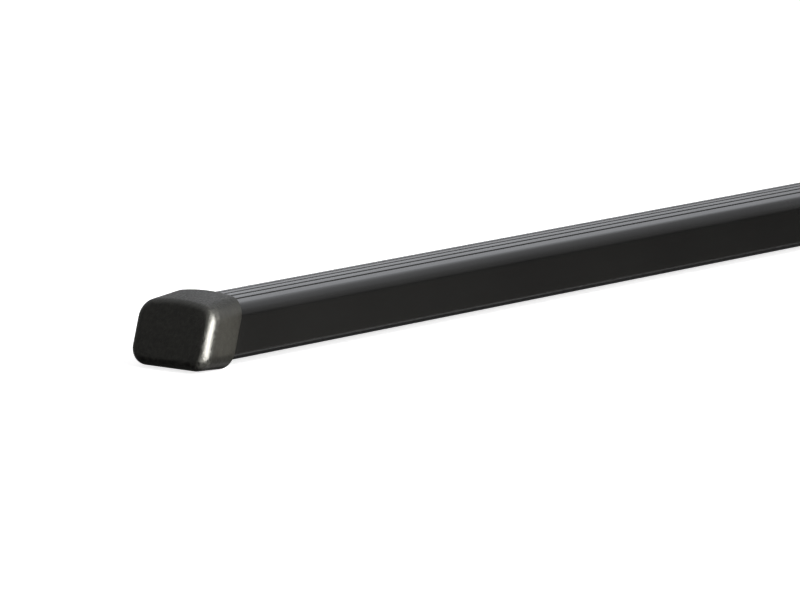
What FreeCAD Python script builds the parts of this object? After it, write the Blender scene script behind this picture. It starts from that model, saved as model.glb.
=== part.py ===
"""Roof rack crossbar: a steel tube in a grooved plastic cover, with a soft moulded cap on each end.

Millimetres. X runs along the bar, Y across it and Z up. The origin is at the middle of the bar's
length and width, at the height of the surface that its end caps lie on. -Y is the front side.
"""
import FreeCAD
import Part
import math
import os

from FreeCAD import Vector

# the bar's outer section
bar_width = 32.0
bar_height = 22.0
bar_cut_length = 1161.0
crown_radius = 83.0
top_corner_radius = 5.0
bottom_corner_radius = 4.0

# lengthwise grooves in the crowned top
groove_count = 4
groove_pitch = 5.0
groove_radius = 0.8
groove_depth = 0.6
groove_edge_radius = 0.2

# plastic cover and steel tube
cover_wall = 1.1
cover_top_wall = 1.9
cover_fit = 0.05
tube_wall = 2.5
tube_corner_radius = 3.5

# outside of the end cap
cap_wall = 2.8
cap_length = 17.6
cap_slant_deg = 17.1
cap_top_drop = 1.6
cap_bottom_rise = 1.0
cap_end_radius = 3.3

# inside of the end cap
cap_fit = 0.1
cap_end_wall = 2.8
stop_run = 0.4
stop_rib_width = 1.8
stop_rib_spacing = 15.0
plug_reach = 30.0
plug_wall = 1.7
plug_gap = 0.6
plug_corner_radius = 1.6
plug_lead = 0.9
crush_rib_height = 0.5
crush_rib_width = 1.4
crush_rib_spacing = 13.0

# a cutting block runs this far past what it cuts
overrun = 5.0

slant = math.tan(math.radians(cap_slant_deg))
slant_cos = math.cos(math.radians(cap_slant_deg))


def lowest_of_cap():
    """Height of the rim's lower edge, from the bar's underside: where the rising underside meets the slanted rim."""
    rise_rate = cap_bottom_rise * slant / cap_length
    return (rise_rate * bar_height / 2 - cap_wall) / (1 + rise_rate)


underside_z = -lowest_of_cap()
middle_z = underside_z + bar_height / 2
top_z = underside_z + bar_height

tube_bottom_z = underside_z + cover_wall + cover_fit
tube_top_z = top_z - cover_top_wall - cover_fit
tube_half_width = bar_width / 2 - cover_wall - cover_fit
tube_end_x = bar_cut_length / 2

# the cap's end face and rim cross the bar's middle height at these places, at the +X end
stop_depth = cap_end_wall / slant_cos + slant * bar_height / 2 + stop_run
face_x = tube_end_x + stop_depth
rim_x = face_x - cap_length


def arc(centre, radius, start_deg, end_deg, x):
    """An arc in the plane X = x, from one angle to another, counted from +Y towards +Z."""
    points = []
    for angle in (start_deg, (start_deg + end_deg) / 2, end_deg):
        turn = math.radians(angle)
        y = centre[0] + radius * math.cos(turn)
        z = centre[1] + radius * math.sin(turn)
        points.append(Vector(x, y, z))
    return Part.Arc(points[0], points[1], points[2]).toShape()


def line(a, b):
    return Part.LineSegment(a, b).toShape()


def crowned_outline(x, half_width, low_z, high_z, crown, top_radius, bottom_radius):
    """A closed section with a flat underside, upright sides and a crowned top, each corner a tangent arc."""
    crown_z = high_z - crown
    shoulder_y = half_width - top_radius
    shoulder_z = crown_z + math.sqrt((crown - top_radius) ** 2 - shoulder_y ** 2)
    shoulder_deg = math.degrees(math.atan2(shoulder_z - crown_z, shoulder_y))
    heel_y = half_width - bottom_radius
    heel_z = low_z + bottom_radius
    edges = [
        arc((0, crown_z), crown, 180 - shoulder_deg, shoulder_deg, x),
        arc((shoulder_y, shoulder_z), top_radius, shoulder_deg, 0, x),
        line(Vector(x, half_width, shoulder_z), Vector(x, half_width, heel_z)),
        arc((heel_y, heel_z), bottom_radius, 0, -90, x),
        line(Vector(x, heel_y, low_z), Vector(x, -heel_y, low_z)),
        arc((-heel_y, heel_z), bottom_radius, -90, -180, x),
        line(Vector(x, -half_width, heel_z), Vector(x, -half_width, shoulder_z)),
        arc((-shoulder_y, shoulder_z), top_radius, 180, 180 - shoulder_deg, x),
    ]
    return Part.Wire(edges)


def box_outline(x, half_width, low_z, high_z, radius):
    """A closed rectangular section with rounded corners."""
    y = half_width - radius
    low = low_z + radius
    high = high_z - radius
    edges = [
        line(Vector(x, -y, high_z), Vector(x, y, high_z)),
        arc((y, high), radius, 90, 0, x),
        line(Vector(x, half_width, high), Vector(x, half_width, low)),
        arc((y, low), radius, 0, -90, x),
        line(Vector(x, y, low_z), Vector(x, -y, low_z)),
        arc((-y, low), radius, -90, -180, x),
        line(Vector(x, -half_width, low), Vector(x, -half_width, high)),
        arc((-y, high), radius, 180, 90, x),
    ]
    return Part.Wire(edges)


def prism(wire, length):
    """The solid that a section in a YZ plane sweeps along +X."""
    return Part.Face(wire).extrude(Vector(length, 0, 0))


def bar_outline(x, grow):
    """The bar's outer section, with every side moved out by the same distance."""
    return crowned_outline(
        x,
        bar_width / 2 + grow,
        underside_z - grow,
        top_z + grow,
        crown_radius + grow,
        top_corner_radius + grow,
        bottom_corner_radius + grow,
    )


def groove_places():
    """The y and z of each groove's centre line on the crowned top."""
    places = []
    for i in range(groove_count):
        y = (i - (groove_count - 1) / 2) * groove_pitch
        surface_z = top_z - crown_radius + math.sqrt(crown_radius ** 2 - y ** 2)
        places.append((y, surface_z))
    return places


def make_bar_cover():
    """The sheath: the outer section, less the grooves and the tube's space, with the groove edges eased."""
    start = -tube_end_x
    cover = prism(bar_outline(start, 0), bar_cut_length)
    for y, surface_z in groove_places():
        axis_z = surface_z + groove_radius - groove_depth
        cutter = Part.makeCylinder(
            groove_radius,
            bar_cut_length + 2 * overrun,
            Vector(start - overrun, y, axis_z),
            Vector(1, 0, 0),
        )
        cover = cover.cut(cutter)
    half_mouth = math.sqrt(groove_radius ** 2 - (groove_radius - groove_depth) ** 2)
    mouths = []
    for edge in cover.Edges:
        box = edge.BoundBox
        lengthwise = box.XLength > bar_cut_length / 2 and box.YLength < 0.01
        for y, surface_z in groove_places():
            beside = abs(abs(box.Center.y - y) - half_mouth) < groove_radius / 4
            if lengthwise and beside and abs(box.Center.z - surface_z) < groove_radius / 2:
                mouths.append(edge)
    cover = cover.makeFillet(groove_edge_radius, mouths)
    hollow = box_outline(
        start - overrun,
        tube_half_width + cover_fit,
        tube_bottom_z - cover_fit,
        tube_top_z + cover_fit,
        tube_corner_radius + cover_fit,
    )
    return cover.cut(prism(hollow, bar_cut_length + 2 * overrun))


def make_steel_tube():
    outer = box_outline(-tube_end_x, tube_half_width, tube_bottom_z, tube_top_z, tube_corner_radius)
    bore = box_outline(
        -tube_end_x - overrun,
        tube_half_width - tube_wall,
        tube_bottom_z + tube_wall,
        tube_top_z - tube_wall,
        tube_corner_radius - tube_wall,
    )
    return prism(outer, bar_cut_length).cut(prism(bore, bar_cut_length + 2 * overrun))


def cap_corner(across_x, base_z, rate):
    """Where the line z = base_z + rate * (x - rim_x) meets the slanted plane that crosses the middle height at across_x."""
    fall = slant * (base_z - rate * (rim_x - across_x) - middle_z)
    x = across_x - fall / (1 + slant * rate)
    return x, base_z + rate * (x - rim_x)


def make_cap_block():
    """The cap before its edges are rounded: slanted ends, a rising underside, and a crowned and sloping top."""
    half_width = bar_width / 2 + cap_wall
    low_z = underside_z - cap_wall
    high_z = top_z + cap_wall
    rise_rate = cap_bottom_rise / cap_length
    drop_rate = cap_top_drop / cap_length
    outline = [
        cap_corner(rim_x, low_z, rise_rate),
        cap_corner(face_x, low_z, rise_rate),
        cap_corner(face_x, high_z + overrun, 0),
        cap_corner(rim_x, high_z + overrun, 0),
    ]
    points = [Vector(x, -half_width, z) for x, z in outline]
    side = Part.Face(Part.makePolygon(points + points[:1]))
    block = side.extrude(Vector(0, 2 * half_width, 0))
    return block.common(crowned_slab(high_z, drop_rate))


def crowned_slab(high_z, drop_rate):
    """All that lies under the cap's crowned top, which slopes down towards the end face."""
    half_width = bar_width / 2 + cap_wall + overrun
    radius = crown_radius + cap_wall
    half_deg = math.degrees(math.asin(half_width / radius))
    x = rim_x - cap_length
    top = arc((0, high_z - radius), radius, 90 + half_deg, 90 - half_deg, x)
    low_z = underside_z - bar_height
    left, right = (v.Point for v in top.Vertexes)
    foot = [Vector(x, right.y, low_z), Vector(x, left.y, low_z)]
    sides = Part.makePolygon([right, foot[0], foot[1], left])
    slab = prism(Part.Wire([top] + sides.Edges), 4 * cap_length)
    slab.rotate(Vector(rim_x, 0, high_z), Vector(0, 1, 0), math.degrees(math.atan(drop_rate)))
    return slab


def slanted_slab(near_x, far_x, half_width):
    """What lies between two planes that lean like the end face and cross the middle height at near_x and far_x."""
    reach = bar_height / 2 + cap_wall + overrun
    lean = slant * reach
    corners = [
        Vector(near_x + lean, -half_width, middle_z - reach),
        Vector(near_x - lean, -half_width, middle_z + reach),
        Vector(far_x - lean, -half_width, middle_z + reach),
        Vector(far_x + lean, -half_width, middle_z - reach),
    ]
    return Part.Face(Part.makePolygon(corners + corners[:1])).extrude(Vector(0, 2 * half_width, 0))


def on_slant(edge, cross_x):
    """Whether an edge lies in the slanted plane that crosses the middle height at cross_x."""
    off = [abs(v.X - cross_x + slant * (v.Z - middle_z)) for v in edge.Vertexes]
    return max(off) < 0.001


def side_edges(shape, upper):
    """The long edges at the cap's two sides, above or below its middle height."""
    edges = []
    for edge in shape.Edges:
        box = edge.BoundBox
        at_side = abs(abs(box.Center.y) - bar_width / 2 - cap_wall) < 0.01 and box.YLength < 0.01
        lengthwise = box.XLength > 2 * box.ZLength
        if at_side and lengthwise and (box.Center.z > middle_z) == upper:
            edges.append(edge)
    return edges


def make_cap_shell():
    """The drafted cup: rounded along its sides and round its end face, and hollowed to fit over the bar."""
    shell = make_cap_block()
    shell = shell.makeFillet(top_corner_radius + cap_wall, side_edges(shell, True))
    shell = shell.makeFillet(bottom_corner_radius + cap_wall, side_edges(shell, False))
    face_edges = [e for e in shell.Edges if on_slant(e, face_x)]
    shell = shell.makeFillet(cap_end_radius, face_edges)
    past = slant * (bar_height / 2 + cap_wall) + overrun
    cavity = prism(bar_outline(rim_x - past, cap_fit), cap_length + 2 * past)
    floor_x = face_x - cap_end_wall / slant_cos
    return shell.cut(cavity.common(slanted_slab(rim_x - past, floor_x, bar_width)))


def plug_half_width():
    return tube_half_width - tube_wall - plug_gap


def plug_heights():
    return tube_bottom_z + tube_wall + plug_gap, tube_top_z - tube_wall - plug_gap


def make_cap_plug():
    """The hollow plug that goes into the tube, with a tapered lead and half-round crush ribs."""
    half_width = plug_half_width()
    low_z, high_z = plug_heights()
    tip_x = tube_end_x - plug_reach
    body = prism(
        box_outline(tip_x, half_width, low_z, high_z, plug_corner_radius), face_x - tip_x
    )
    tip_edges = [e for e in body.Edges if e.BoundBox.XMax < tip_x + 0.001]
    body = body.makeChamfer(plug_lead, tip_edges)
    hollow_radius = plug_corner_radius / 2
    hollow = box_outline(
        tip_x - overrun,
        half_width - plug_wall,
        low_z + plug_wall,
        high_z - plug_wall,
        hollow_radius,
    )
    ribs = []
    rib_start = tip_x + 2 * plug_lead
    rib_length = tube_end_x - rib_start
    places = [
        (crush_rib_spacing / 2, high_z, 1, 0),
        (-crush_rib_spacing / 2, high_z, 1, 0),
        (crush_rib_spacing / 2, low_z, 1, 0),
        (-crush_rib_spacing / 2, low_z, 1, 0),
        (half_width, (low_z + high_z) / 2, 0, 1),
        (-half_width, (low_z + high_z) / 2, 0, 1),
    ]
    for y, z, along_y, along_z in places:
        ribs.append(crush_rib(rib_start, rib_length, y, z, along_y, along_z))
    body = body.multiFuse(ribs)
    return body.cut(prism(hollow, face_x - tip_x + 2 * overrun))


def crush_rib(x, length, y, z, along_y, along_z):
    """A round-topped rib: a cylinder sunk in the plug until its width and height are as named."""
    half = crush_rib_width / 2
    radius = (half ** 2 + crush_rib_height ** 2) / (2 * crush_rib_height)
    sink = radius - crush_rib_height
    centre_y = y - math.copysign(sink, y) * along_z
    outward_z = 1 if z > middle_z else -1
    centre_z = z - outward_z * sink * along_y
    return Part.makeCylinder(radius, length, Vector(x, centre_y, centre_z), Vector(1, 0, 0))


def make_stop_ribs():
    """The ribs that the square-cut bar end butts on, from the cup's wall to the plug."""
    reach = face_x - tube_end_x
    low_z, high_z = plug_heights()
    ribs = []
    for y in (-stop_rib_spacing / 2, stop_rib_spacing / 2):
        corner = Vector(tube_end_x, y - stop_rib_width / 2, underside_z - cap_wall / 2)
        ribs.append(Part.makeBox(reach, stop_rib_width, low_z + plug_wall / 2 - corner.z, corner))
        corner = Vector(tube_end_x, y - stop_rib_width / 2, high_z - plug_wall / 2)
        ribs.append(Part.makeBox(reach, stop_rib_width, top_z + cap_wall / 4 - corner.z, corner))
    side = bar_width / 2 + cap_wall / 2
    inner = plug_half_width() - plug_wall / 2
    for low_y in (-side, inner):
        corner = Vector(tube_end_x, low_y, middle_z - stop_rib_width / 2)
        ribs.append(Part.makeBox(reach, side - inner, stop_rib_width, corner))
    return ribs


def make_end_cap():
    """The cap on the +X end: cup, plug and stop ribs as one moulding."""
    shell = make_cap_shell()
    inside = [make_cap_plug()] + make_stop_ribs()
    kept = slanted_slab(rim_x - 4 * plug_reach, face_x - cap_end_wall / slant_cos / 2, bar_width)
    inside = [piece.common(kept) for piece in inside]
    return shell.multiFuse(inside).removeSplitter()


def write_part(name, shape):
    solids = shape.Solids
    shape = solids[0] if len(solids) == 1 else Part.makeCompound(solids)
    shape.exportStep(os.path.join("parts", name + ".step"))
    box = shape.BoundBox
    print(name, len(solids), "solid", shape.isValid(), round(shape.Volume, 1), "mm3")
    print("  x", round(box.XMin, 3), round(box.XMax, 3), "y", round(box.YMin, 3), round(box.YMax, 3),
          "z", round(box.ZMin, 3), round(box.ZMax, 3))


def main():
    os.makedirs("parts", exist_ok=True)
    right_cap = make_end_cap()
    left_cap = right_cap.mirror(Vector(0, 0, 0), Vector(1, 0, 0))
    write_part("steel_tube", make_steel_tube())
    write_part("bar_cover", make_bar_cover())
    write_part("end_cap_right", right_cap)
    write_part("end_cap_left", left_cap)


main()
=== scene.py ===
import math

import bpy
import numpy as np
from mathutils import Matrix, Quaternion, Vector


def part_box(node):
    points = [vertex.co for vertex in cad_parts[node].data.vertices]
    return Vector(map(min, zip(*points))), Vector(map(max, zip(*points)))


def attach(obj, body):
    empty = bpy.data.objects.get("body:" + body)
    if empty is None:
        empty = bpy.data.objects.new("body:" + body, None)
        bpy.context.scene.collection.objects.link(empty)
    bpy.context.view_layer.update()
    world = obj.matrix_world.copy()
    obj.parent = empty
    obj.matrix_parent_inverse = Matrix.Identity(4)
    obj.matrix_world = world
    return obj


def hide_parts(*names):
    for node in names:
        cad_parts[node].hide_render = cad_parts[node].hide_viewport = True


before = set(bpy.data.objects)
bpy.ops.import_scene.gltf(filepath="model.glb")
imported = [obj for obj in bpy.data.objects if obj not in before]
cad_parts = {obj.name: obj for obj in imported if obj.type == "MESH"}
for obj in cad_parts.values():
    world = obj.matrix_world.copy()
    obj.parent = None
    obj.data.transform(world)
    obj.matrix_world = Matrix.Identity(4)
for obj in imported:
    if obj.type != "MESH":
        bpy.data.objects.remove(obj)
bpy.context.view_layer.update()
print("frame loaded:", sorted(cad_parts))

mm = 0.001           # shapes below are worked out in millimetres and made metres when they become a mesh
sharpAngleDeg = 32   # edges that turn by more than this stay crisp, such as the foot of a rib


def linearColour(hexCode, alpha=1.0):
    # an sRGB hex value turned linear: the low part is a straight line, the rest a 2.4 power
    parts = np.array([int(hexCode[i:i + 2], 16) for i in (1, 3, 5)]) / 255
    parts = np.where(parts <= 0.04045, parts / 12.92, ((parts + 0.055) / 1.055) ** 2.4)
    return (*parts.tolist(), alpha)


def addNode(tree, kind, settings=None, values=None, links=None):
    # values sets the node's own sockets, links joins outputs of earlier nodes to them
    node = tree.nodes.new(kind)
    for name, value in (settings or {}).items():
        setattr(node, name, value)
    for name, value in (values or {}).items():
        node.inputs[name].default_value = value
    for name, socket in (links or {}).items():
        tree.links.new(socket, node.inputs[name])
    return node


def newMaterial(name):
    # a material with an empty node tree
    material = bpy.data.materials.new(name)
    material.use_nodes = True
    material.node_tree.nodes.clear()
    return material, material.node_tree


def setRamp(node, stops):
    # stops is a list of (place, linear colour), in order
    ramp = node.color_ramp
    ramp.elements[0].position, ramp.elements[0].color = stops[0]
    ramp.elements[1].position, ramp.elements[1].color = stops[-1]
    for place, colour in stops[1:-1]:
        ramp.elements.new(place).color = colour


def arcPoints(centre, radius, startDeg, endDeg, steps):
    # Points on an arc in y and z: the centre plus the radius times the angle's cosine and sine.
    # Angles count from +Y towards +Z, and the cosine and sine are also the outward direction.
    angle = np.radians(np.linspace(startDeg, endDeg, steps + 1))
    direction = np.stack([np.cos(angle), np.sin(angle)], axis=1)
    return np.array(centre) + radius * direction, direction


def mirroredLoop(half):
    # the half section from the bottom middle to the top middle, closed by its own mirror image
    mirrored = half[-2:0:-1].copy()
    mirrored[:, 0] *= -1
    return np.concatenate([half, mirrored])


def ringsToMesh(name, rings, closedAlong, firstPole=None, lastPole=None, flip=False):
    # Each ring joins the next by a band of quads.
    # A tube closes on itself, and a cup closes by a fan of triangles round a pole at each end.
    ringCount, loopCount = rings.shape[:2]
    nextRing = np.roll(np.arange(ringCount), -1) if closedAlong else np.arange(1, ringCount)
    ring = np.arange(len(nextRing))[:, None]
    column = np.arange(loopCount)[None, :]
    after = (column + 1) % loopCount
    following = nextRing[:, None]
    corners = [ring * loopCount + column, ring * loopCount + after,
               following * loopCount + after, following * loopCount + column]
    quads = np.stack(corners, axis=-1).reshape(-1, 4)
    points = rings.reshape(-1, 3)
    fans = []
    if firstPole is not None:
        fan = [np.full(loopCount, len(points)), after[0], column[0]]
        fans.append(np.stack(fan, axis=-1))
        points = np.concatenate([points, [firstPole]])
    if lastPole is not None:
        start = (ringCount - 1) * loopCount
        fan = [np.full(loopCount, len(points)), start + column[0], start + after[0]]
        fans.append(np.stack(fan, axis=-1))
        points = np.concatenate([points, [lastPole]])
    faces = quads.tolist() + [face for fan in fans for face in fan.tolist()]
    if flip:
        faces = [face[::-1] for face in faces]
    mesh = bpy.data.meshes.new(name)
    mesh.from_pydata((points * mm).tolist(), [], faces)
    mesh.polygons.foreach_set("use_smooth", np.ones(len(mesh.polygons), dtype=bool))
    mesh.set_sharp_from_angle(angle=math.radians(sharpAngleDeg))
    mesh.update()
    return mesh


def addPiece(name, mesh, material, node):
    # a finished piece stands in for one CAD node, which it hides, rides on the body and takes the material
    # it is given
    piece = bpy.data.objects.new(name, mesh)
    bpy.context.scene.collection.objects.link(piece)
    mesh.materials.append(material)
    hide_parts(node)
    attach(piece, "root")


# the camera is fitted to the outline of the bar and its cap in the photograph
cameraView = {
    "azimuthDeg": -51.447,
    "elevationDeg": 9.0,
    "rollDeg": 0.077,
    "sensorWidth": 36,
    "lens": 292.97,                           # millimetres, as the sensor's width
    "distance": 2.4325,                       # metres, from the point aimed at
    "aim": (-0.53267, -0.06631, 0.02651),     # the middle of the picture, by the front end of the bar
    "clipEnd": 100,
}

azimuth = math.radians(cameraView["azimuthDeg"])
elevation = math.radians(cameraView["elevationDeg"])
# azimuth turns the direction to the camera round from the front, and elevation lifts it off the floor
towardsCamera = Vector((math.sin(azimuth) * math.cos(elevation),
                        -math.cos(azimuth) * math.cos(elevation),
                        math.sin(elevation)))
cameraData = bpy.data.cameras.new("photographCamera")
cameraData.sensor_width = cameraView["sensorWidth"]
cameraData.lens = cameraView["lens"]
cameraData.clip_end = cameraView["clipEnd"]
camera = bpy.data.objects.new("photographCamera", cameraData)
camera.location = Vector(cameraView["aim"]) + cameraView["distance"] * towardsCamera
camera.rotation_mode = "QUATERNION"
roll = Quaternion((0, 0, 1), math.radians(cameraView["rollDeg"]))
camera.rotation_quaternion = (-towardsCamera).to_track_quat("-Z", "Y") @ roll
bpy.context.scene.collection.objects.link(camera)
bpy.context.scene.camera = camera
print("camera placed")


def makeCoverPlastic():
    # Black PVC, extruded over the tube and drawn through a die: satin, with fine lines along the bar.
    look = {
        "black": "#0a0a0a",
        "paler": "#0f0f0e",
        "ior": 1.47,
        "roughness": (0.24, 0.28),
        "cloudMm": 71.43,               # slow drift of tone and gloss along the bar
        "cloudRange": (0.3, 0.7),       # most of a noise's values lie between these
        "dieLineMm": 0.45,              # real lines are about 0.1 apart, drawn coarser to show
        "dieLineLengthMm": 90,
        "dieLineHeightMm": 0.006,
        "grainMm": 0.5,
        "grainHeightMm": 0.004,
    }
    material, tree = newMaterial("extrudedBlackPvc")
    place = addNode(tree, "ShaderNodeTexCoord").outputs["Object"]
    across = 1 / (look["dieLineMm"] * mm)
    along = 1 / (look["dieLineLengthMm"] * mm)
    stretched = addNode(tree, "ShaderNodeMapping", values={"Scale": (along, across, across)},
                        links={"Vector": place}).outputs["Vector"]
    dieLines = addNode(tree, "ShaderNodeTexNoise",
                       values={"Scale": 1.0, "Detail": 3.0, "Roughness": 0.55},
                       links={"Vector": stretched}).outputs["Fac"]
    grain = addNode(tree, "ShaderNodeTexNoise",
                    values={"Scale": 1 / (look["grainMm"] * mm), "Detail": 2.0, "Roughness": 0.6},
                    links={"Vector": place}).outputs["Fac"]
    clouds = addNode(tree, "ShaderNodeTexNoise",
                     values={"Scale": 1 / (look["cloudMm"] * mm), "Detail": 3.0},
                     links={"Vector": place}).outputs["Fac"]
    low, high = look["cloudRange"]
    colour = addNode(tree, "ShaderNodeValToRGB", links={"Fac": clouds})
    setRamp(colour, [(low, linearColour(look["black"])), (high, linearColour(look["paler"]))])
    gloss = addNode(tree, "ShaderNodeMapRange",
                    values={"From Min": low, "From Max": high,
                            "To Min": look["roughness"][0], "To Max": look["roughness"][1]},
                    links={"Value": clouds}).outputs["Result"]
    lines = addNode(tree, "ShaderNodeBump", values={"Distance": look["dieLineHeightMm"] * mm},
                    links={"Height": dieLines}).outputs["Normal"]
    relief = addNode(tree, "ShaderNodeBump", values={"Distance": look["grainHeightMm"] * mm},
                     links={"Height": grain, "Normal": lines}).outputs["Normal"]
    shader = addNode(tree, "ShaderNodeBsdfPrincipled", values={"IOR": look["ior"]},
                     links={"Base Color": colour.outputs["Color"], "Roughness": gloss, "Normal": relief})
    addNode(tree, "ShaderNodeOutputMaterial", links={"Surface": shader.outputs["BSDF"]})
    return material


def makeCapRubber():
    # Black thermoplastic rubber, moulded in a spark-eroded tool: soft sheen over a fine pebbled grain.
    look = {
        "black": "#090908",
        "paintedSheen": "#1e1e1b",
        "paintedSheenMm": 1.6,                 # faint pale blotches in the colour: painted sheen, standing in for the grain's mottled gloss
        "paintedSheenRange": (0.4, 0.68),      # below it a blotch is black, above it full
        "ior": 1.49,
        "glossTint": "#fffdf4",
        "roughness": (0.37, 0.55),
        "pebbleMm": 0.8,                # the tool's own grain is nearer 0.3, drawn coarser to show
        "pebbleRange": (0.3, 0.7),
        "pebbleHeightMm": 0.13,
        "grainMm": 0.35,
        "grainHeightMm": 0.02,
    }
    material, tree = newMaterial("mouldedBlackRubber")
    place = addNode(tree, "ShaderNodeTexCoord").outputs["Object"]
    pebbles = addNode(tree, "ShaderNodeTexNoise",
                      values={"Scale": 1 / (look["pebbleMm"] * mm), "Detail": 1.0, "Roughness": 0.5},
                      links={"Vector": place}).outputs["Fac"]
    grain = addNode(tree, "ShaderNodeTexNoise",
                    values={"Scale": 1 / (look["grainMm"] * mm), "Detail": 2.0, "Roughness": 0.6},
                    links={"Vector": place}).outputs["Fac"]
    # pale blotches in the base colour, a painted sheen for the grain's mottled gloss
    paintedSheenBlotches = addNode(tree, "ShaderNodeTexNoise",
                       values={"Scale": 1 / (look["paintedSheenMm"] * mm), "Detail": 3.0, "Roughness": 0.6},
                       links={"Vector": place}).outputs["Fac"]
    low, high = look["paintedSheenRange"]
    colour = addNode(tree, "ShaderNodeValToRGB", links={"Fac": paintedSheenBlotches})
    setRamp(colour, [(low, linearColour(look["black"])), (high, linearColour(look["paintedSheen"]))])
    gloss = addNode(tree, "ShaderNodeMapRange",
                    values={"From Min": look["pebbleRange"][0], "From Max": look["pebbleRange"][1],
                            "To Min": look["roughness"][0], "To Max": look["roughness"][1]},
                    links={"Value": pebbles}).outputs["Result"]
    coarse = addNode(tree, "ShaderNodeBump", values={"Distance": look["pebbleHeightMm"] * mm},
                     links={"Height": pebbles}).outputs["Normal"]
    relief = addNode(tree, "ShaderNodeBump", values={"Distance": look["grainHeightMm"] * mm},
                     links={"Height": grain, "Normal": coarse}).outputs["Normal"]
    shader = addNode(tree, "ShaderNodeBsdfPrincipled",
                     values={"IOR": look["ior"], "Specular Tint": linearColour(look["glossTint"])},
                     links={"Base Color": colour.outputs["Color"], "Roughness": gloss, "Normal": relief})
    addNode(tree, "ShaderNodeOutputMaterial", links={"Surface": shader.outputs["BSDF"]})
    return material


def makeTubeSteel():
    # Cold-rolled steel, zinc coated: a dull metal with spangles a few millimetres wide.
    look = {
        "zinc": "#b4b8bc",
        "darker": "#8f9499",
        "roughness": (0.32, 0.55),
        "spangleMm": 6.0,
        "rollLineMm": 0.4,
        "rollLineStretch": 100,         # how many times longer than wide a line is
        "rollLineHeightMm": 0.004,
    }
    material, tree = newMaterial("zincCoatedSteel")
    place = addNode(tree, "ShaderNodeTexCoord").outputs["Object"]
    spangle = addNode(tree, "ShaderNodeTexVoronoi", values={"Scale": 1 / (look["spangleMm"] * mm)},
                      links={"Vector": place})
    tone = addNode(tree, "ShaderNodeSeparateColor",
                   links={"Color": spangle.outputs["Color"]}).outputs["Red"]
    colour = addNode(tree, "ShaderNodeValToRGB", links={"Fac": tone})
    setRamp(colour, [(0.0, linearColour(look["darker"])), (1.0, linearColour(look["zinc"]))])
    gloss = addNode(tree, "ShaderNodeMapRange",
                    values={"To Min": look["roughness"][0], "To Max": look["roughness"][1]},
                    links={"Value": tone}).outputs["Result"]
    across = 1 / (look["rollLineMm"] * mm)
    along = across / look["rollLineStretch"]
    stretched = addNode(tree, "ShaderNodeMapping", values={"Scale": (along, across, across)},
                        links={"Vector": place}).outputs["Vector"]
    rollLines = addNode(tree, "ShaderNodeTexNoise", values={"Scale": 1.0, "Detail": 2.0},
                        links={"Vector": stretched}).outputs["Fac"]
    relief = addNode(tree, "ShaderNodeBump", values={"Distance": look["rollLineHeightMm"] * mm},
                     links={"Height": rollLines}).outputs["Normal"]
    shader = addNode(tree, "ShaderNodeBsdfPrincipled", values={"Metallic": 1.0},
                     links={"Base Color": colour.outputs["Color"], "Roughness": gloss, "Normal": relief})
    addNode(tree, "ShaderNodeOutputMaterial", links={"Surface": shader.outputs["BSDF"]})
    return material


# the bar's cover is a grooved outer skin and a bore that fits the tube
bar = {
    "halfWidth": 16.0,
    "height": 22.0,
    "halfLength": 580.5,
    "crown": 83.0,               # radius of the domed top
    "topCorner": 5.0,
    "bottomCorner": 4.0,
    "grooves": (7.5, 2.5),       # places across the bar, the same on both sides of its middle
    "grooveRadius": 0.8,
    "grooveDepth": 0.6,
    "grooveEdge": 0.2,
    "boreHalfWidth": 14.9,
    "boreLow": 1.1,              # above the underside
    "boreHigh": 20.1,
    "boreCorner": 3.55,
    "stations": 60,              # rings along the bar, once out and once back
    "flatPoints": 9,             # points along a flat, and between the shoulder and a groove
    "middlePoints": 6,           # from the last groove to the middle
    "heelSteps": 24,
    "shoulderSteps": 32,
    "hollowSteps": 12,
    "edgeSteps": 5,
}
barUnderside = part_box("bar_cover")[0].z / mm
barTop = barUnderside + bar["height"]
barMiddle = barUnderside + bar["height"] / 2


def crownHeight(crownCentre, y):
    # the crown is a circle, so its height is its centre's plus the root of radius squared less y squared
    return crownCentre[1] + np.sqrt(bar["crown"] ** 2 - y ** 2)


def grooveArcs(crownCentre, y):
    # One groove, from its outer mouth to its inner one: a hollow arc between two small edge arcs.
    # An edge arc's centre is where a circle just inside the crown meets one just outside the groove.
    # Along the line between their centres that is the gap squared plus the inner radius squared less
    # the outer one squared, over twice the gap, and beside that line it follows by Pythagoras.
    axis = np.array([y, crownHeight(crownCentre, y) + bar["grooveRadius"] - bar["grooveDepth"]])
    inside = bar["crown"] - bar["grooveEdge"]
    outside = bar["grooveRadius"] + bar["grooveEdge"]
    between = axis - crownCentre
    gap = np.linalg.norm(between)
    reach = (gap ** 2 + inside ** 2 - outside ** 2) / (2 * gap)
    offset = math.sqrt(inside ** 2 - reach ** 2)
    forward = between / gap
    sideways = np.array([forward[1], -forward[0]])
    points = []
    for side in (1, -1):
        edgeCentre = crownCentre + reach * forward + side * offset * sideways
        crownDeg = math.degrees(math.atan2(*(edgeCentre - crownCentre)[::-1]))
        grooveDeg = math.degrees(math.atan2(*(axis - edgeCentre)[::-1]))
        edge = arcPoints(edgeCentre, bar["grooveEdge"], crownDeg, grooveDeg, bar["edgeSteps"])[0]
        points.append(edge if side == 1 else edge[::-1])
        if side == 1:
            startDeg = grooveDeg - 180
        else:
            endDeg = grooveDeg - 180
    hollow = arcPoints(axis, bar["grooveRadius"], startDeg % 360, endDeg % 360, bar["hollowSteps"])[0]
    return np.concatenate([points[0], hollow[1:-1], points[1]])


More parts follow.
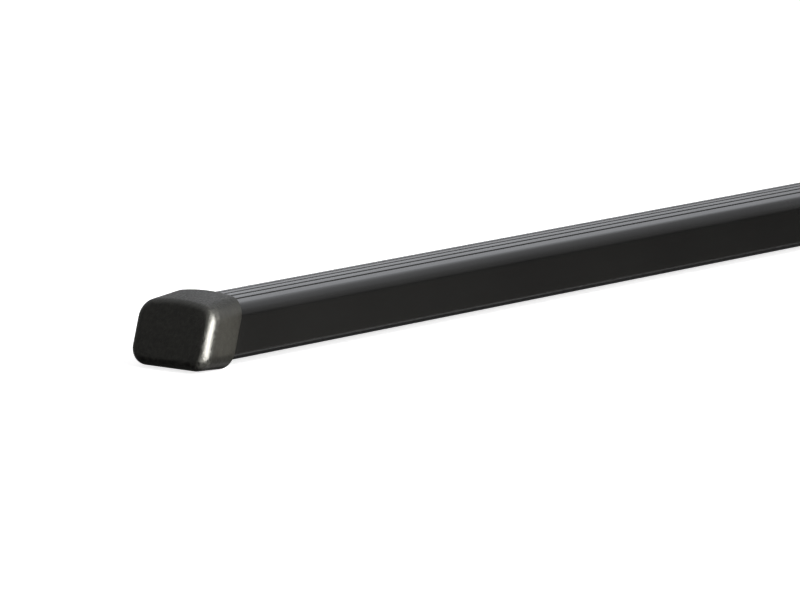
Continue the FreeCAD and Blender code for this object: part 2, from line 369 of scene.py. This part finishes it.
def coverHalfSections():
    # The outer and inner half sections, each from the bottom middle to the top middle, with equal counts.
    # A shoulder's centre lies on the crown's circle made smaller by the shoulder's radius, so its height
    # is the crown's centre plus the root of that smaller radius squared less y squared.
    crownCentre = np.array([0.0, barTop - bar["crown"]])
    shoulderY = bar["halfWidth"] - bar["topCorner"]
    shoulderZ = crownCentre[1] + math.sqrt((bar["crown"] - bar["topCorner"]) ** 2 - shoulderY ** 2)
    shoulderDeg = math.degrees(math.atan2(shoulderZ - crownCentre[1], shoulderY))
    heelY = bar["halfWidth"] - bar["bottomCorner"]
    heelZ = barUnderside + bar["bottomCorner"]
    count = bar["flatPoints"]
    flat = np.stack([np.linspace(0, heelY, count), np.full(count, barUnderside)], axis=1)
    heel = arcPoints((heelY, heelZ), bar["bottomCorner"], -90, 0, bar["heelSteps"])[0]
    side = np.stack([np.full(count, bar["halfWidth"]), np.linspace(heelZ, shoulderZ, count)], axis=1)
    shoulder = arcPoints((shoulderY, shoulderZ), bar["topCorner"], 0, shoulderDeg, bar["shoulderSteps"])[0]
    crowned = [shoulder[-1:]]
    for y in bar["grooves"]:
        groove = grooveArcs(crownCentre, y)
        land = np.linspace(crowned[-1][-1, 0], groove[0, 0], count)[1:-1]
        crowned.append(np.stack([land, crownHeight(crownCentre, land)], axis=1))
        crowned.append(groove)
    land = np.linspace(crowned[-1][-1, 0], 0, bar["middlePoints"])[1:]
    crowned.append(np.stack([land, crownHeight(crownCentre, land)], axis=1))
    crowned = np.concatenate(crowned[1:])
    outer = np.concatenate([flat, heel[1:], side[1:], shoulder[1:], crowned])

    # the bore is a plain rounded rectangle
    low, high, radius = barUnderside + bar["boreLow"], barUnderside + bar["boreHigh"], bar["boreCorner"]
    wallY = bar["boreHalfWidth"]
    flatY = wallY - radius
    flat = np.stack([np.linspace(0, flatY, count), np.full(count, low)], axis=1)
    heel = arcPoints((flatY, low + radius), radius, -90, 0, bar["heelSteps"])[0]
    side = np.stack([np.full(count, wallY), np.linspace(low + radius, high - radius, count)], axis=1)
    shoulder = arcPoints((flatY, high - radius), radius, 0, 90, bar["shoulderSteps"])[0]
    roof = np.stack([crowned[:, 0] * flatY / shoulderY, np.full(len(crowned), high)], axis=1)
    inner = np.concatenate([flat, heel[1:], side[1:], shoulder[1:], roof])
    return outer, inner


def makeBarCover(material):
    # Both sections are carried along X: out over the skin and back through the bore.
    # The last ring joins the first, which closes the cut ends.
    outer, inner = (mirroredLoop(half) for half in coverHalfSections())
    along = np.linspace(-bar["halfLength"], bar["halfLength"], bar["stations"])
    skins = []
    for loop, places in ((outer, along), (inner, along[::-1])):
        rings = np.empty((len(places), len(loop), 3))
        rings[:, :, 0] = places[:, None]
        rings[:, :, 1:] = loop[None]
        skins.append(rings)
    mesh = ringsToMesh("barCover", np.concatenate(skins), closedAlong=True)
    addPiece("barCover", mesh, material, "bar_cover")


# each end cap is one surface, from the middle of its end face out, in over the rim and down the plug
cap = {
    "wall": 2.8,
    "length": 17.6,
    "slantDeg": 17.1,            # lean of the end face and the rim
    "topDrop": 1.6,              # over the cap's length, towards the end face
    "bottomRise": 1.0,
    "endRadius": 3.3,
    "rimRadius": 0.45,           # the mould's own easing of the rim
    "innerRimRadius": 0.25,
    "fit": 0.1,
    "endWall": 2.8,
    "stopRun": 0.4,
    "stopRibSpacing": 15.0,
    "stopRibWidth": 1.8,
    "plugReach": 30.0,
    "plugHalfWidth": 11.75,
    "plugLow": 4.25,             # above the bar's underside
    "plugHigh": 16.95,
    "plugCorner": 1.6,
    "plugWall": 1.7,
    "plugLead": 0.9,
    "crushRibSpacing": 13.0,
    "crushRibWidth": 1.4,
    "crushRibHeight": 0.5,
    "ribStep": 0.05,             # run of a rib's steep side
    "ribSlack": 0.01,            # under a step and over rounding, to tell on which side a point lies
    "levelFrom": 4.0,            # walls farther than this from the middle height are the level ones
    "uprightFrom": 0.5,          # points farther out than the level ribs by this may be on the upright ones
    "flatColumns": (0, 1.8, 3.6, 5.2, 7.5, 8.0),    # points across the level walls besides the ribs' own
    "sideColumns": (-2.6, -1.7, 0.5, 1.7, 2.6),     # and up the upright walls, from the middle height
    "outerSteps": 5,             # from the outermost column to a corner
    "cornerSteps": 22,
    "faceSteps": 8,
    "endEdgeSteps": 18,
    "skirtSteps": 14,
    "rimEdgeSteps": 6,
    "rimSteps": 3,
    "innerEdgeSteps": 4,
    "socketSteps": 6,
    "floorSteps": 4,
    "plugSteps": 8,
    "tipSteps": 2,
    "blindSteps": 4,
}
slant = math.tan(math.radians(cap["slantDeg"]))
slantCos = math.cos(math.radians(cap["slantDeg"]))
tubeEnd = bar["halfLength"]
faceX = tubeEnd + cap["endWall"] / slantCos + slant * bar["height"] / 2 + cap["stopRun"]
rimX = faceX - cap["length"]
floorX = faceX - cap["endWall"] / slantCos
dropRate = cap["topDrop"] / cap["length"]
riseRate = cap["bottomRise"] / cap["length"]

# columns of points stand at the sides of the ribs, so each section has them at the same places
ribStep = cap["ribStep"]
stopRibSide = cap["stopRibSpacing"] / 2 + cap["stopRibWidth"] / 2
crushColumns = cap["crushRibWidth"] / 2 * np.array([-1, -0.8, -0.45, 0, 0.45, 0.8, 1])
# the plug's middle lies this far below the bar's
crushDrop = bar["height"] / 2 - (cap["plugLow"] + cap["plugHigh"]) / 2
flatPlaces = np.unique(np.round(np.concatenate([
    cap["flatColumns"],
    cap["crushRibSpacing"] / 2 + crushColumns,
    [stopRibSide - cap["stopRibWidth"] - ribStep, stopRibSide - cap["stopRibWidth"]],
    [stopRibSide, stopRibSide + ribStep]]), 4))
sidePlaces = np.unique(np.round(np.concatenate([
    cap["sideColumns"],
    crushColumns - crushDrop,
    np.array([-1, 1]) * cap["stopRibWidth"] / 2,
    np.array([-1, 1]) * (cap["stopRibWidth"] / 2 + ribStep)]), 4))


def capSection(halfWidth, low, high, crown, topRadius, bottomRadius):
    # A half section in a plane across the bar, as rows of y, z, outward ny, nz and part: flat underside,
    # heel arc, upright side, shoulder arc, and a top that is flat or, with a crown radius, a circle's arc.
    # The shoulder's centre is found as on the bar's cover.
    # part is 1 on the top and its corner, -1 on the underside and its corner, and fades to 0 up the side.
    cornerSteps, outerSteps = cap["cornerSteps"], cap["outerSteps"]
    heelY, heelZ = halfWidth - bottomRadius, low + bottomRadius
    shoulderY = halfWidth - topRadius
    if crown:
        shoulderZ = high - crown + math.sqrt((crown - topRadius) ** 2 - shoulderY ** 2)
        shoulderDeg = math.degrees(math.atan2(shoulderZ - high + crown, shoulderY))
    else:
        shoulderZ, shoulderDeg = high - topRadius, 90
    bottomY = np.concatenate([flatPlaces, np.linspace(flatPlaces[-1], heelY, outerSteps + 1)[1:-1]])
    topY = np.concatenate([flatPlaces, np.linspace(flatPlaces[-1], shoulderY, outerSteps + 1)[1:-1]])[::-1]
    sideZ = barMiddle + sidePlaces
    belowZ = np.linspace(heelZ, sideZ[0], outerSteps + 1)[1:-1]
    aboveZ = np.linspace(sideZ[-1], shoulderZ, outerSteps + 1)[1:-1]
    fade = np.linspace(1, 0, outerSteps + 1)[1:-1]
    heel, heelOut = arcPoints((heelY, heelZ), bottomRadius, -90, 0, cornerSteps)
    shoulder, shoulderOut = arcPoints((shoulderY, shoulderZ), topRadius, 0, shoulderDeg, cornerSteps)
    if crown:
        topZ = high - crown + np.sqrt(crown ** 2 - topY ** 2)
        topOut = np.stack([topY, topZ - high + crown], axis=1) / crown
    else:
        topZ = np.full(len(topY), high)
        topOut = np.tile([0.0, 1.0], (len(topY), 1))
    upright = np.concatenate([belowZ, sideZ, aboveZ])
    uprightPart = np.concatenate([-fade, np.zeros(len(sideZ)), fade[::-1]])
    places = np.concatenate([
        np.stack([bottomY, np.full(len(bottomY), low)], axis=1),
        heel,
        np.stack([np.full(len(upright), halfWidth), upright], axis=1),
        shoulder,
        np.stack([topY, topZ], axis=1)])
    outward = np.concatenate([
        np.tile([0.0, -1.0], (len(bottomY), 1)),
        heelOut,
        np.tile([1.0, 0.0], (len(upright), 1)),
        shoulderOut,
        topOut])
    part = np.concatenate([
        -np.ones(len(bottomY) + len(heel)),
        uprightPart,
        np.ones(len(shoulder) + len(topY))])
    return np.column_stack([places, outward, part])


def capLoop(*shape):
    # the whole section; mirroring turns y and the sideways part of the outward direction
    half = capSection(*shape)
    mirrored = half[-2:0:-1].copy()
    mirrored[:, [0, 2]] *= -1
    return np.concatenate([half, mirrored])


def outsideLoop(inset):
    # The cap's drafted outside, moved inwards by inset.
    # A sloping face then lies lower or higher by inset times the root of one plus its slope squared.
    grow = cap["wall"] - inset
    lean = [math.hypot(1, rate) for rate in (riseRate, dropRate)]
    return capLoop(
        bar["halfWidth"] + grow,
        barUnderside - cap["wall"] + inset * lean[0],
        barTop + cap["wall"] - inset * lean[1],
        bar["crown"] + grow,
        bar["topCorner"] + grow,
        bar["bottomCorner"] + grow)


def socketLoop(grow):
    # the bar's own section, grown by the cap's fit
    return capLoop(
        bar["halfWidth"] + grow, barUnderside - grow, barTop + grow, bar["crown"] + grow,
        bar["topCorner"] + grow, bar["bottomCorner"] + grow)


def plugLoop(inset, radius):
    # the plug is a rounded rectangle, here moved inwards by inset
    return capLoop(
        cap["plugHalfWidth"] - inset, barUnderside + cap["plugLow"] + inset,
        barUnderside + cap["plugHigh"] - inset, None, radius, radius)


def onSlant(loop, crossX, drafted=False):
    # Puts a section in the plane that leans like the end face and crosses the middle height at crossX:
    # x is crossX less the lean's slope times the height over the middle.
    # On the drafted outside z also changes with x, so the two straight lines are solved together.
    y, z, part = loop[:, 0], loop[:, 1], loop[:, 4]
    if drafted:
        rate = np.where(part > 0, -dropRate * part, -riseRate * part)
        z = (z + rate * (crossX + slant * barMiddle - rimX)) / (1 + rate * slant)
    return np.stack([crossX - slant * (z - barMiddle), y, z], axis=1)


def squareRing(x, section):
    # puts a section's y and z in the plane square to the bar at x
    return np.column_stack([np.full(len(section), x), section])


def draftedOutward(loop):
    # a sloping top or underside tips the outward direction along the bar by its slope
    part = loop[:, 4]
    tip = np.where(part > 0, dropRate, -riseRate) * loop[:, 3]
    outward = np.stack([tip, loop[:, 2], loop[:, 3]], axis=1)
    return outward / np.linalg.norm(outward, axis=1, keepdims=True)


def turned(start, end, share):
    # The direction part of the way round from start to end, at an even pace: the two are added,
    # weighed by the sines of the angle still to go and of the angle gone, over that of the whole angle.
    angle = np.arccos(np.clip((start * end).sum(axis=1, keepdims=True), -1, 1))
    return (np.sin((1 - share) * angle) * start + np.sin(share * angle) * end) / np.sin(angle)


def roundedRings(centre, radius, start, end, steps):
    # rings round an edge: a radius out from the ring of centres, in directions turning from start to end
    return [centre + radius * turned(start, end, share) for share in np.linspace(0, 1, steps + 1)]


def ruledRings(start, end, steps):
    # straight runs between two rings, without the first ring
    return [start + (end - start) * share for share in np.linspace(0, 1, steps + 1)[1:]]


def onStopRib(loop):
    # true where a point lies on a stop rib: two ribs on each level wall and one on each upright wall
    y, z = np.abs(loop[:, 0]), np.abs(loop[:, 1] - barMiddle)
    slack = cap["ribSlack"]
    betweenSides = (y > stopRibSide - cap["stopRibWidth"] - slack) & (y < stopRibSide + slack)
    level = betweenSides & (z > cap["levelFrom"])
    upright = (z < cap["stopRibWidth"] / 2 + slack) & (y > stopRibSide + cap["uprightFrom"])
    return level | upright


def crushBump(loop):
    # Height of the crush ribs: a circle sunk in the plug's wall until its width and height are as named.
    # Its radius is half width squared plus height squared, over twice the height, and a point on it
    # rises by the root of radius squared less its place squared, less the part that is sunk.
    half, height = cap["crushRibWidth"] / 2, cap["crushRibHeight"]
    radius = (half ** 2 + height ** 2) / (2 * height)
    y, z = np.abs(loop[:, 0]), loop[:, 1] - barMiddle
    fromRib = np.where(np.abs(z) > cap["levelFrom"], y - cap["crushRibSpacing"] / 2, z + crushDrop)
    straight = 0.9999            # the outward direction's larger part on a flat wall, less rounding
    flat = np.maximum(np.abs(loop[:, 2]), np.abs(loop[:, 3])) > straight
    rise = np.sqrt(np.maximum(radius ** 2 - fromRib ** 2, 0)) - (radius - height)
    return np.where(flat & (np.abs(fromRib) < half), np.maximum(rise, 0), 0)


def capRings():
    # Rings for the cap at +X, from the middle of its end face to the middle of the plug's blind end.
    # The end face looks outward by the lean's cosine along the bar and by its sine upward.
    faceOut = np.array([[slantCos, 0, slantCos * slant]])

    # flat end face, its round edge, and the drafted skirt
    radius = cap["endRadius"]
    loop = outsideLoop(radius)
    centre = onSlant(loop, faceX - radius / slantCos, drafted=True)
    skirtOut = draftedOutward(loop)
    faceOutAll = np.repeat(faceOut, len(loop), axis=0)
    edge = roundedRings(centre, radius, faceOutAll, skirtOut, cap["endEdgeSteps"])
    facePole = np.array([faceX, 0, barMiddle])
    shares = np.linspace(0, 1, cap["faceSteps"] + 1)[1:-1]
    rings = [facePole + (edge[0] - facePole) * share for share in shares]
    rings += edge
    radius = cap["rimRadius"]
    loop = outsideLoop(radius)
    centre = onSlant(loop, rimX + radius / slantCos, drafted=True)
    easing = roundedRings(centre, radius, draftedOutward(loop), -faceOutAll, cap["rimEdgeSteps"])
    rings += ruledRings(rings[-1], easing[0], cap["skirtSteps"])
    rings += easing[1:]

    # rim, socket wall and the floor round the plug, with the stop ribs standing on it
    radius = cap["innerRimRadius"]
    loop = socketLoop(cap["fit"] + radius)
    centre = onSlant(loop, rimX + radius / slantCos)
    inward = np.column_stack([np.zeros(len(loop)), -loop[:, 2:4]])
    easing = roundedRings(centre, radius, -faceOutAll, inward, cap["innerEdgeSteps"])
    rings += ruledRings(rings[-1], easing[0], cap["rimSteps"])
    rings += easing[1:]
    loop = socketLoop(cap["fit"])
    socketFloor = onSlant(loop, floorX)
    socketFloor[:, 0] = np.where(onStopRib(loop), tubeEnd, socketFloor[:, 0])
    rings += ruledRings(rings[-1], socketFloor, cap["socketSteps"])
    loop = plugLoop(0, cap["plugCorner"])
    plugFoot = onSlant(loop, floorX)
    plugFoot[:, 0] = np.where(onStopRib(loop), tubeEnd, plugFoot[:, 0])
    rings += ruledRings(rings[-1], plugFoot, cap["floorSteps"])

    # plug with crush ribs and a tapered lead, then its hollow
    tip = tubeEnd - cap["plugReach"]
    ribStart = tip + 2 * cap["plugLead"]
    bump = crushBump(loop)[:, None] * loop[:, 2:4]
    for x, ribbed, steps in ((tubeEnd - ribStep, 0, 1), (tubeEnd - 2 * ribStep, 1, 1),
                             (ribStart + ribStep, 1, cap["plugSteps"]), (ribStart, 0, 1),
                             (tip + cap["plugLead"], 0, 1)):
        rings += ruledRings(rings[-1], squareRing(x, loop[:, :2] + ribbed * bump), steps)
    loop = plugLoop(cap["plugLead"], cap["plugCorner"] - cap["plugLead"])
    rings += ruledRings(rings[-1], squareRing(tip, loop[:, :2]), cap["tipSteps"])
    loop = plugLoop(cap["plugWall"], cap["plugCorner"] / 2)
    rings += ruledRings(rings[-1], squareRing(tip, loop[:, :2]), 1)
    rings += ruledRings(rings[-1], onSlant(loop, floorX), cap["plugSteps"])
    blindPole = np.array([floorX, 0, barMiddle])
    shares = np.linspace(1, 0, cap["blindSteps"] + 1)[1:-1]
    rings += [blindPole + (rings[-1] - blindPole) * share for share in shares]
    return np.stack(rings), facePole, blindPole


def makeEndCaps(material):
    # The cap at -X is the one at +X with x negated, which turns its faces round.
    # As the rings run, that leaves the faces of the one at +X to be flipped.
    rings, facePole, blindPole = capRings()
    for name, node, side in (("endCapRight", "end_cap_right", 1), ("endCapLeft", "end_cap_left", -1)):
        across = np.array([side, 1, 1])
        mesh = ringsToMesh(name, rings * across, closedAlong=False, firstPole=facePole * across,
                           lastPole=blindPole * across, flip=side == 1)
        addPiece(name, mesh, material, node)


makeBarCover(makeCoverPlastic())
print("cover made")
makeEndCaps(makeCapRubber())
print("end caps made")
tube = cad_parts["steel_tube"]
tube.data.materials.clear()
tube.data.materials.append(makeTubeSteel())
print("tube finished")


# the studio's places and sizes are in metres
studio = {
    "floorColour": "#e6e6e6",
    "floorHalfSize": 30.0,
    "pictureLift": 0.78,         # light added to the floor for the picture, up to white
    "glossLift": 0.2,            # and for reflections, where its own light makes up most of the white
    "worldLight": 0.35,
    "skyTint": "#ffffff",
    "skyGlossTint": "#f9fbff",   # the room above is a little cooler in reflections
    "cardReach": 100.0,          # from farther than this nothing here sees a card
    "cardFadeFrom": 0.65,        # share of its reach at which a card starts to fade
    "cardTint": "#ffffff",
}

softbox = {
    "place": (-0.25, -0.98, 0.61),
    "target": (-0.55, 0, 0.014),
    "size": (0.83, 1.12),
    "watts": 17.5,
}

# Cards stand round the object as a photographer's flags and reflectors do, and one under it is painted
# shade; only its gloss sees them.
# corners run round the card, and on one that stands up they run along its foot and back along its top.
# shade is how bright each corner looks, where 1 is white, or one number where all four are alike.
# reach is from how far off, in metres, a card can be seen, and colour is its tint where it isn't white.
# Those on the floor lie 0.2 mm over it.
cards = {
    "edgeStripLow": {
        "corners": ((-0.5974, -0.0233, 0.0015), (-0.5869, -0.0314, 0.0015),
                    (-0.5847, -0.0288, 0.0155), (-0.5950, -0.0208, 0.0155)),
        "shade": (26, 46, 41, 40), "reach": 0.017},
    "edgeStripHigh": {
        "corners": ((-0.5950, -0.0208, 0.0155), (-0.5847, -0.0288, 0.0155),
                    (-0.5767, -0.0305, 0.0300), (-0.5841, -0.0246, 0.0300)),
        "shade": (39, 42, 50, 43), "reach": 0.017},
    "endFaceFlag": {
        "corners": ((-0.5917, -0.016, 0), (-0.603, -0.016, 0),
                    (-0.5944, -0.016, 0.028), (-0.5831, -0.016, 0.028)),
        "shade": 0.2},
    "edgeStripFlag": {
        "corners": ((-0.5872, -0.0189, 0), (-0.5872, -0.031, 0),
                    (-0.5786, -0.031, 0.028), (-0.5786, -0.0189, 0.028)),
        "shade": 0.15},
    "capSideCard": {
        "corners": ((-0.578, -0.031, 0), (-0.555, -0.031, 0),
                    (-0.555, -0.031, 0.026), (-0.578, -0.031, 0.026)),
        "shade": (2.1, 1.35, 1.35, 2.1), "reach": 0.03, "colour": "#fffbf0"},
    "backLeftFlag": {
        "corners": ((-1.32, 0, 0), (-0.54, 0.73, 0), (-0.54, 0.73, 0.52), (-1.32, 0, 0.52)),
        "shade": 0.25},
    "capBackFlag": {
        "corners": ((-0.594, 0.05, 0), (-0.51, 0.05, 0), (-0.51, 0.05, 0.12), (-0.594, 0.05, 0.12)),
        "shade": (0.32, 0.42, 0.75, 0.75), "colour": "#fbfcff"},
    "backCard": {
        "corners": ((-0.54, 0.73, 0), (-0.05, 0.9, 0), (-0.05, 0.9, 1.2), (-0.54, 0.73, 1.2)),
        "shade": (0.32, 0.72, 0.62, 0.32), "colour": "#f8faff"},
    "backRightCard": {
        "corners": ((0.75, 2.0, 0.22), (1.9, -0.1, 0.22), (1.9, -0.1, 1.6), (0.75, 2.0, 1.6)),
        "shade": (1.19, 0.52, 0.72, 1.09), "colour": "#f8faff"},
    "upperRightCard": {
        "corners": ((0.3, 0.2, 0.3), (0.3, -0.35, 0.3), (0.3, -0.35, 0.78), (0.3, 0.2, 0.78)),
        "shade": (0.4, 0.4, 0.95, 0.95), "colour": "#fbfcff"},
    "backRightLowCard": {
        "corners": ((0.75, 2.0, 0), (1.9, -0.1, 0), (1.9, -0.1, 0.22), (0.75, 2.0, 0.22)),
        "shade": (0.26, 0.19, 0.5, 1.16), "colour": "#f8faff"},
    "frontRightFlag": {
        "corners": ((-0.35, -0.3, 0), (0.57, -0.3, 0), (0.57, -0.3, 0.05), (-0.35, -0.3, 0.05)),
        "shade": 0.02},
    "frontRightCard": {
        "corners": ((-0.35, -0.3, 0.05), (0.57, -0.3, 0.05), (0.57, -0.3, 0.42), (-0.35, -0.3, 0.42)),
        "shade": (0.34, 0.2, 0.45, 0.7)},
    "frontLeftCard": {
        "corners": ((-0.7, -0.3, 0), (-0.35, -0.3, 0), (-0.35, -0.3, 0.14), (-0.7, -0.3, 0.14)),
        "shade": (0.32, 0.32, 0.52, 0.52), "colour": "#fffcf2"},
    "frontFloorFlag": {
        "corners": ((-0.592, -0.0188, 0.0002), (-0.592, -0.9, 0.0002),
                    (0.15, -0.9, 0.0002), (0.15, -0.0188, 0.0002)),
        "shade": (0.31, 0.31, 0, 0), "colour": "#fffcf4"},
    "farFloorFlag": {
        "corners": ((0.15, -0.0188, 0.0002), (0.15, -0.9, 0.0002),
                    (1.5, -0.9, 0.0002), (1.5, -0.0188, 0.0002)),
        "shade": 0.02},
    "backFloorFlag": {
        "corners": ((-0.592, 0.15, 0.0002), (1.5, 0.15, 0.0002),
                    (1.5, 0.9, 0.0002), (-0.592, 0.9, 0.0002)),
        "shade": (0.05, 0.05, 0.12, 0.12)},
    "nearBackFloorCard": {
        "corners": ((-0.592, 0.02, 0.0002), (1.5, 0.02, 0.0002),
                    (1.5, 0.15, 0.0002), (-0.592, 0.15, 0.0002)),
        "shade": (0.35, 0.35, 0.15, 0.15)},
    # a dark card on the floor under the bar: painted shade for the bar's own contact shadow, seen only in
    # its reflections
    "underBarPaintedShade": {
        "corners": ((-0.592, -0.0165, 0.0002), (1.5, -0.0225, 0.0001),
                    (1.5, 0.02, 0.0002), (-0.592, 0.02, 0.0002)),
        "shade": (0.1, 0.1, 0.05, 0.05)},
    "leftFloorFlag": {
        "corners": ((-1.5, -0.9, 0.0002), (-0.592, -0.9, 0.0002),
                    (-0.592, 0.9, 0.0002), (-1.5, 0.9, 0.0002)),
        "shade": 0.02},
}


def backgroundRays(tree, shares):
    # the largest share whose kind of ray this is, and 0 for light that falls on the object
    path = addNode(tree, "ShaderNodeLightPath")
    seen = None
    for name, share in shares.items():
        part = addNode(tree, "ShaderNodeMath", {"operation": "MULTIPLY"}, values={1: share},
                       links={0: path.outputs[name]}).outputs["Value"]
        if seen is None:
            seen = part
        else:
            seen = addNode(tree, "ShaderNodeMath", {"operation": "MAXIMUM"},
                           links={0: seen, 1: part}).outputs["Value"]
    return seen


def makeFloor():
    # Matt white card: its own soft shade keeps the bar's shadow, and the lift takes the rest to white.
    half = studio["floorHalfSize"]
    corners = [(-half, -half, 0), (half, -half, 0), (half, half, 0), (-half, half, 0)]
    mesh = bpy.data.meshes.new("floor")
    mesh.from_pydata(corners, [], [(0, 1, 2, 3)])
    floor = bpy.data.objects.new("floor", mesh)
    bpy.context.scene.collection.objects.link(floor)
    material, tree = newMaterial("mattWhiteCard")
    card = addNode(tree, "ShaderNodeBsdfDiffuse", values={"Color": linearColour(studio["floorColour"])})
    strength = backgroundRays(tree, {"Is Camera Ray": studio["pictureLift"],
                                     "Is Glossy Ray": studio["glossLift"],
                                     "Is Transmission Ray": studio["glossLift"]})
    lift = addNode(tree, "ShaderNodeEmission", links={"Strength": strength})
    both = addNode(tree, "ShaderNodeAddShader",
                   links={0: card.outputs["BSDF"], 1: lift.outputs["Emission"]})
    addNode(tree, "ShaderNodeOutputMaterial", links={"Surface": both.outputs["Shader"]})
    mesh.materials.append(material)


def makeWorld():
    # Plain light on the object, and white wherever the camera or a reflection looks past everything.
    world = bpy.data.worlds.new("studioWorld")
    bpy.context.scene.world = world
    world.use_nodes = True
    tree = world.node_tree
    tree.nodes.clear()
    white = backgroundRays(tree, {"Is Camera Ray": 1.0,
                                  "Is Glossy Ray": 1.0,
                                  "Is Transmission Ray": 1.0})
    strength = addNode(tree, "ShaderNodeMapRange", values={"To Min": studio["worldLight"], "To Max": 1.0},
                       links={"Value": white})
    path = addNode(tree, "ShaderNodeLightPath")
    tone = addNode(tree, "ShaderNodeValToRGB", links={"Fac": path.outputs["Is Glossy Ray"]})
    setRamp(tone, [(0.0, linearColour(studio["skyTint"])), (1.0, linearColour(studio["skyGlossTint"]))])
    sky = addNode(tree, "ShaderNodeBackground",
                  links={"Color": tone.outputs["Color"], "Strength": strength.outputs["Result"]})
    addNode(tree, "ShaderNodeOutputWorld", links={"Surface": sky.outputs["Background"]})


def makeSoftbox():
    # the one lamp, in front of the bar and above it
    light = bpy.data.lights.new("keySoftbox", "AREA")
    light.shape = "RECTANGLE"
    light.size, light.size_y = softbox["size"]
    light.energy = softbox["watts"]
    item = bpy.data.objects.new("keySoftbox", light)
    item.location = softbox["place"]
    item.rotation_mode = "QUATERNION"
    aim = Vector(softbox["target"]) - Vector(softbox["place"])
    item.rotation_quaternion = aim.to_track_quat("-Z", "Y")
    item.visible_camera = False
    bpy.context.scene.collection.objects.link(item)


def makeCardMaterial():
    # Card that looks as bright as its corners say, in its own tint.
    # Towards the end of its reach it fades out, as the light of a narrow strip does.
    material, tree = newMaterial("studioCard")
    shade = addNode(tree, "ShaderNodeAttribute", {"attribute_name": "shade"}).outputs["Fac"]
    reach = addNode(tree, "ShaderNodeAttribute", {"attribute_name": "reach"}).outputs["Fac"]
    tint = addNode(tree, "ShaderNodeAttribute", {"attribute_name": "tint"}).outputs["Color"]
    fadeFrom = addNode(tree, "ShaderNodeMath", {"operation": "MULTIPLY"},
                       values={1: studio["cardFadeFrom"]}, links={0: reach}).outputs["Value"]
    length = addNode(tree, "ShaderNodeLightPath").outputs["Ray Length"]
    near = addNode(tree, "ShaderNodeMapRange", values={"To Min": 1.0, "To Max": 0.0},
                   links={"Value": length, "From Min": fadeFrom, "From Max": reach}).outputs["Result"]
    glow = addNode(tree, "ShaderNodeEmission", links={"Strength": shade, "Color": tint})
    clear = addNode(tree, "ShaderNodeBsdfTransparent")
    mixed = addNode(tree, "ShaderNodeMixShader",
                    links={0: near, 1: clear.outputs["BSDF"], 2: glow.outputs["Emission"]})
    addNode(tree, "ShaderNodeOutputMaterial", links={"Surface": mixed.outputs["Shader"]})
    return material


def addCard(name, card, material):
    # each corner carries the card's shade, reach and tint
    mesh = bpy.data.meshes.new(name)
    mesh.from_pydata(card["corners"], [], [(0, 1, 2, 3)])
    shade = np.full(4, card["shade"], dtype=np.float32)
    reach = np.full(4, card.get("reach", studio["cardReach"]), dtype=np.float32)
    tint = linearColour(card.get("colour", studio["cardTint"]))
    mesh.attributes.new("shade", "FLOAT", "POINT").data.foreach_set("value", shade)
    mesh.attributes.new("reach", "FLOAT", "POINT").data.foreach_set("value", reach)
    mesh.attributes.new("tint", "FLOAT_COLOR", "POINT").data.foreach_set("color", tint * 4)
    mesh.materials.append(material)
    item = bpy.data.objects.new(name, mesh)
    item.visible_camera = False
    item.visible_diffuse = False
    item.visible_shadow = False
    bpy.context.scene.collection.objects.link(item)


makeFloor()
makeWorld()
makeSoftbox()
cardMaterial = makeCardMaterial()
for cardName, cardSettings in cards.items():
    addCard(cardName, cardSettings, cardMaterial)
print("studio made")

bpy.context.scene.view_settings.view_transform = "Standard"
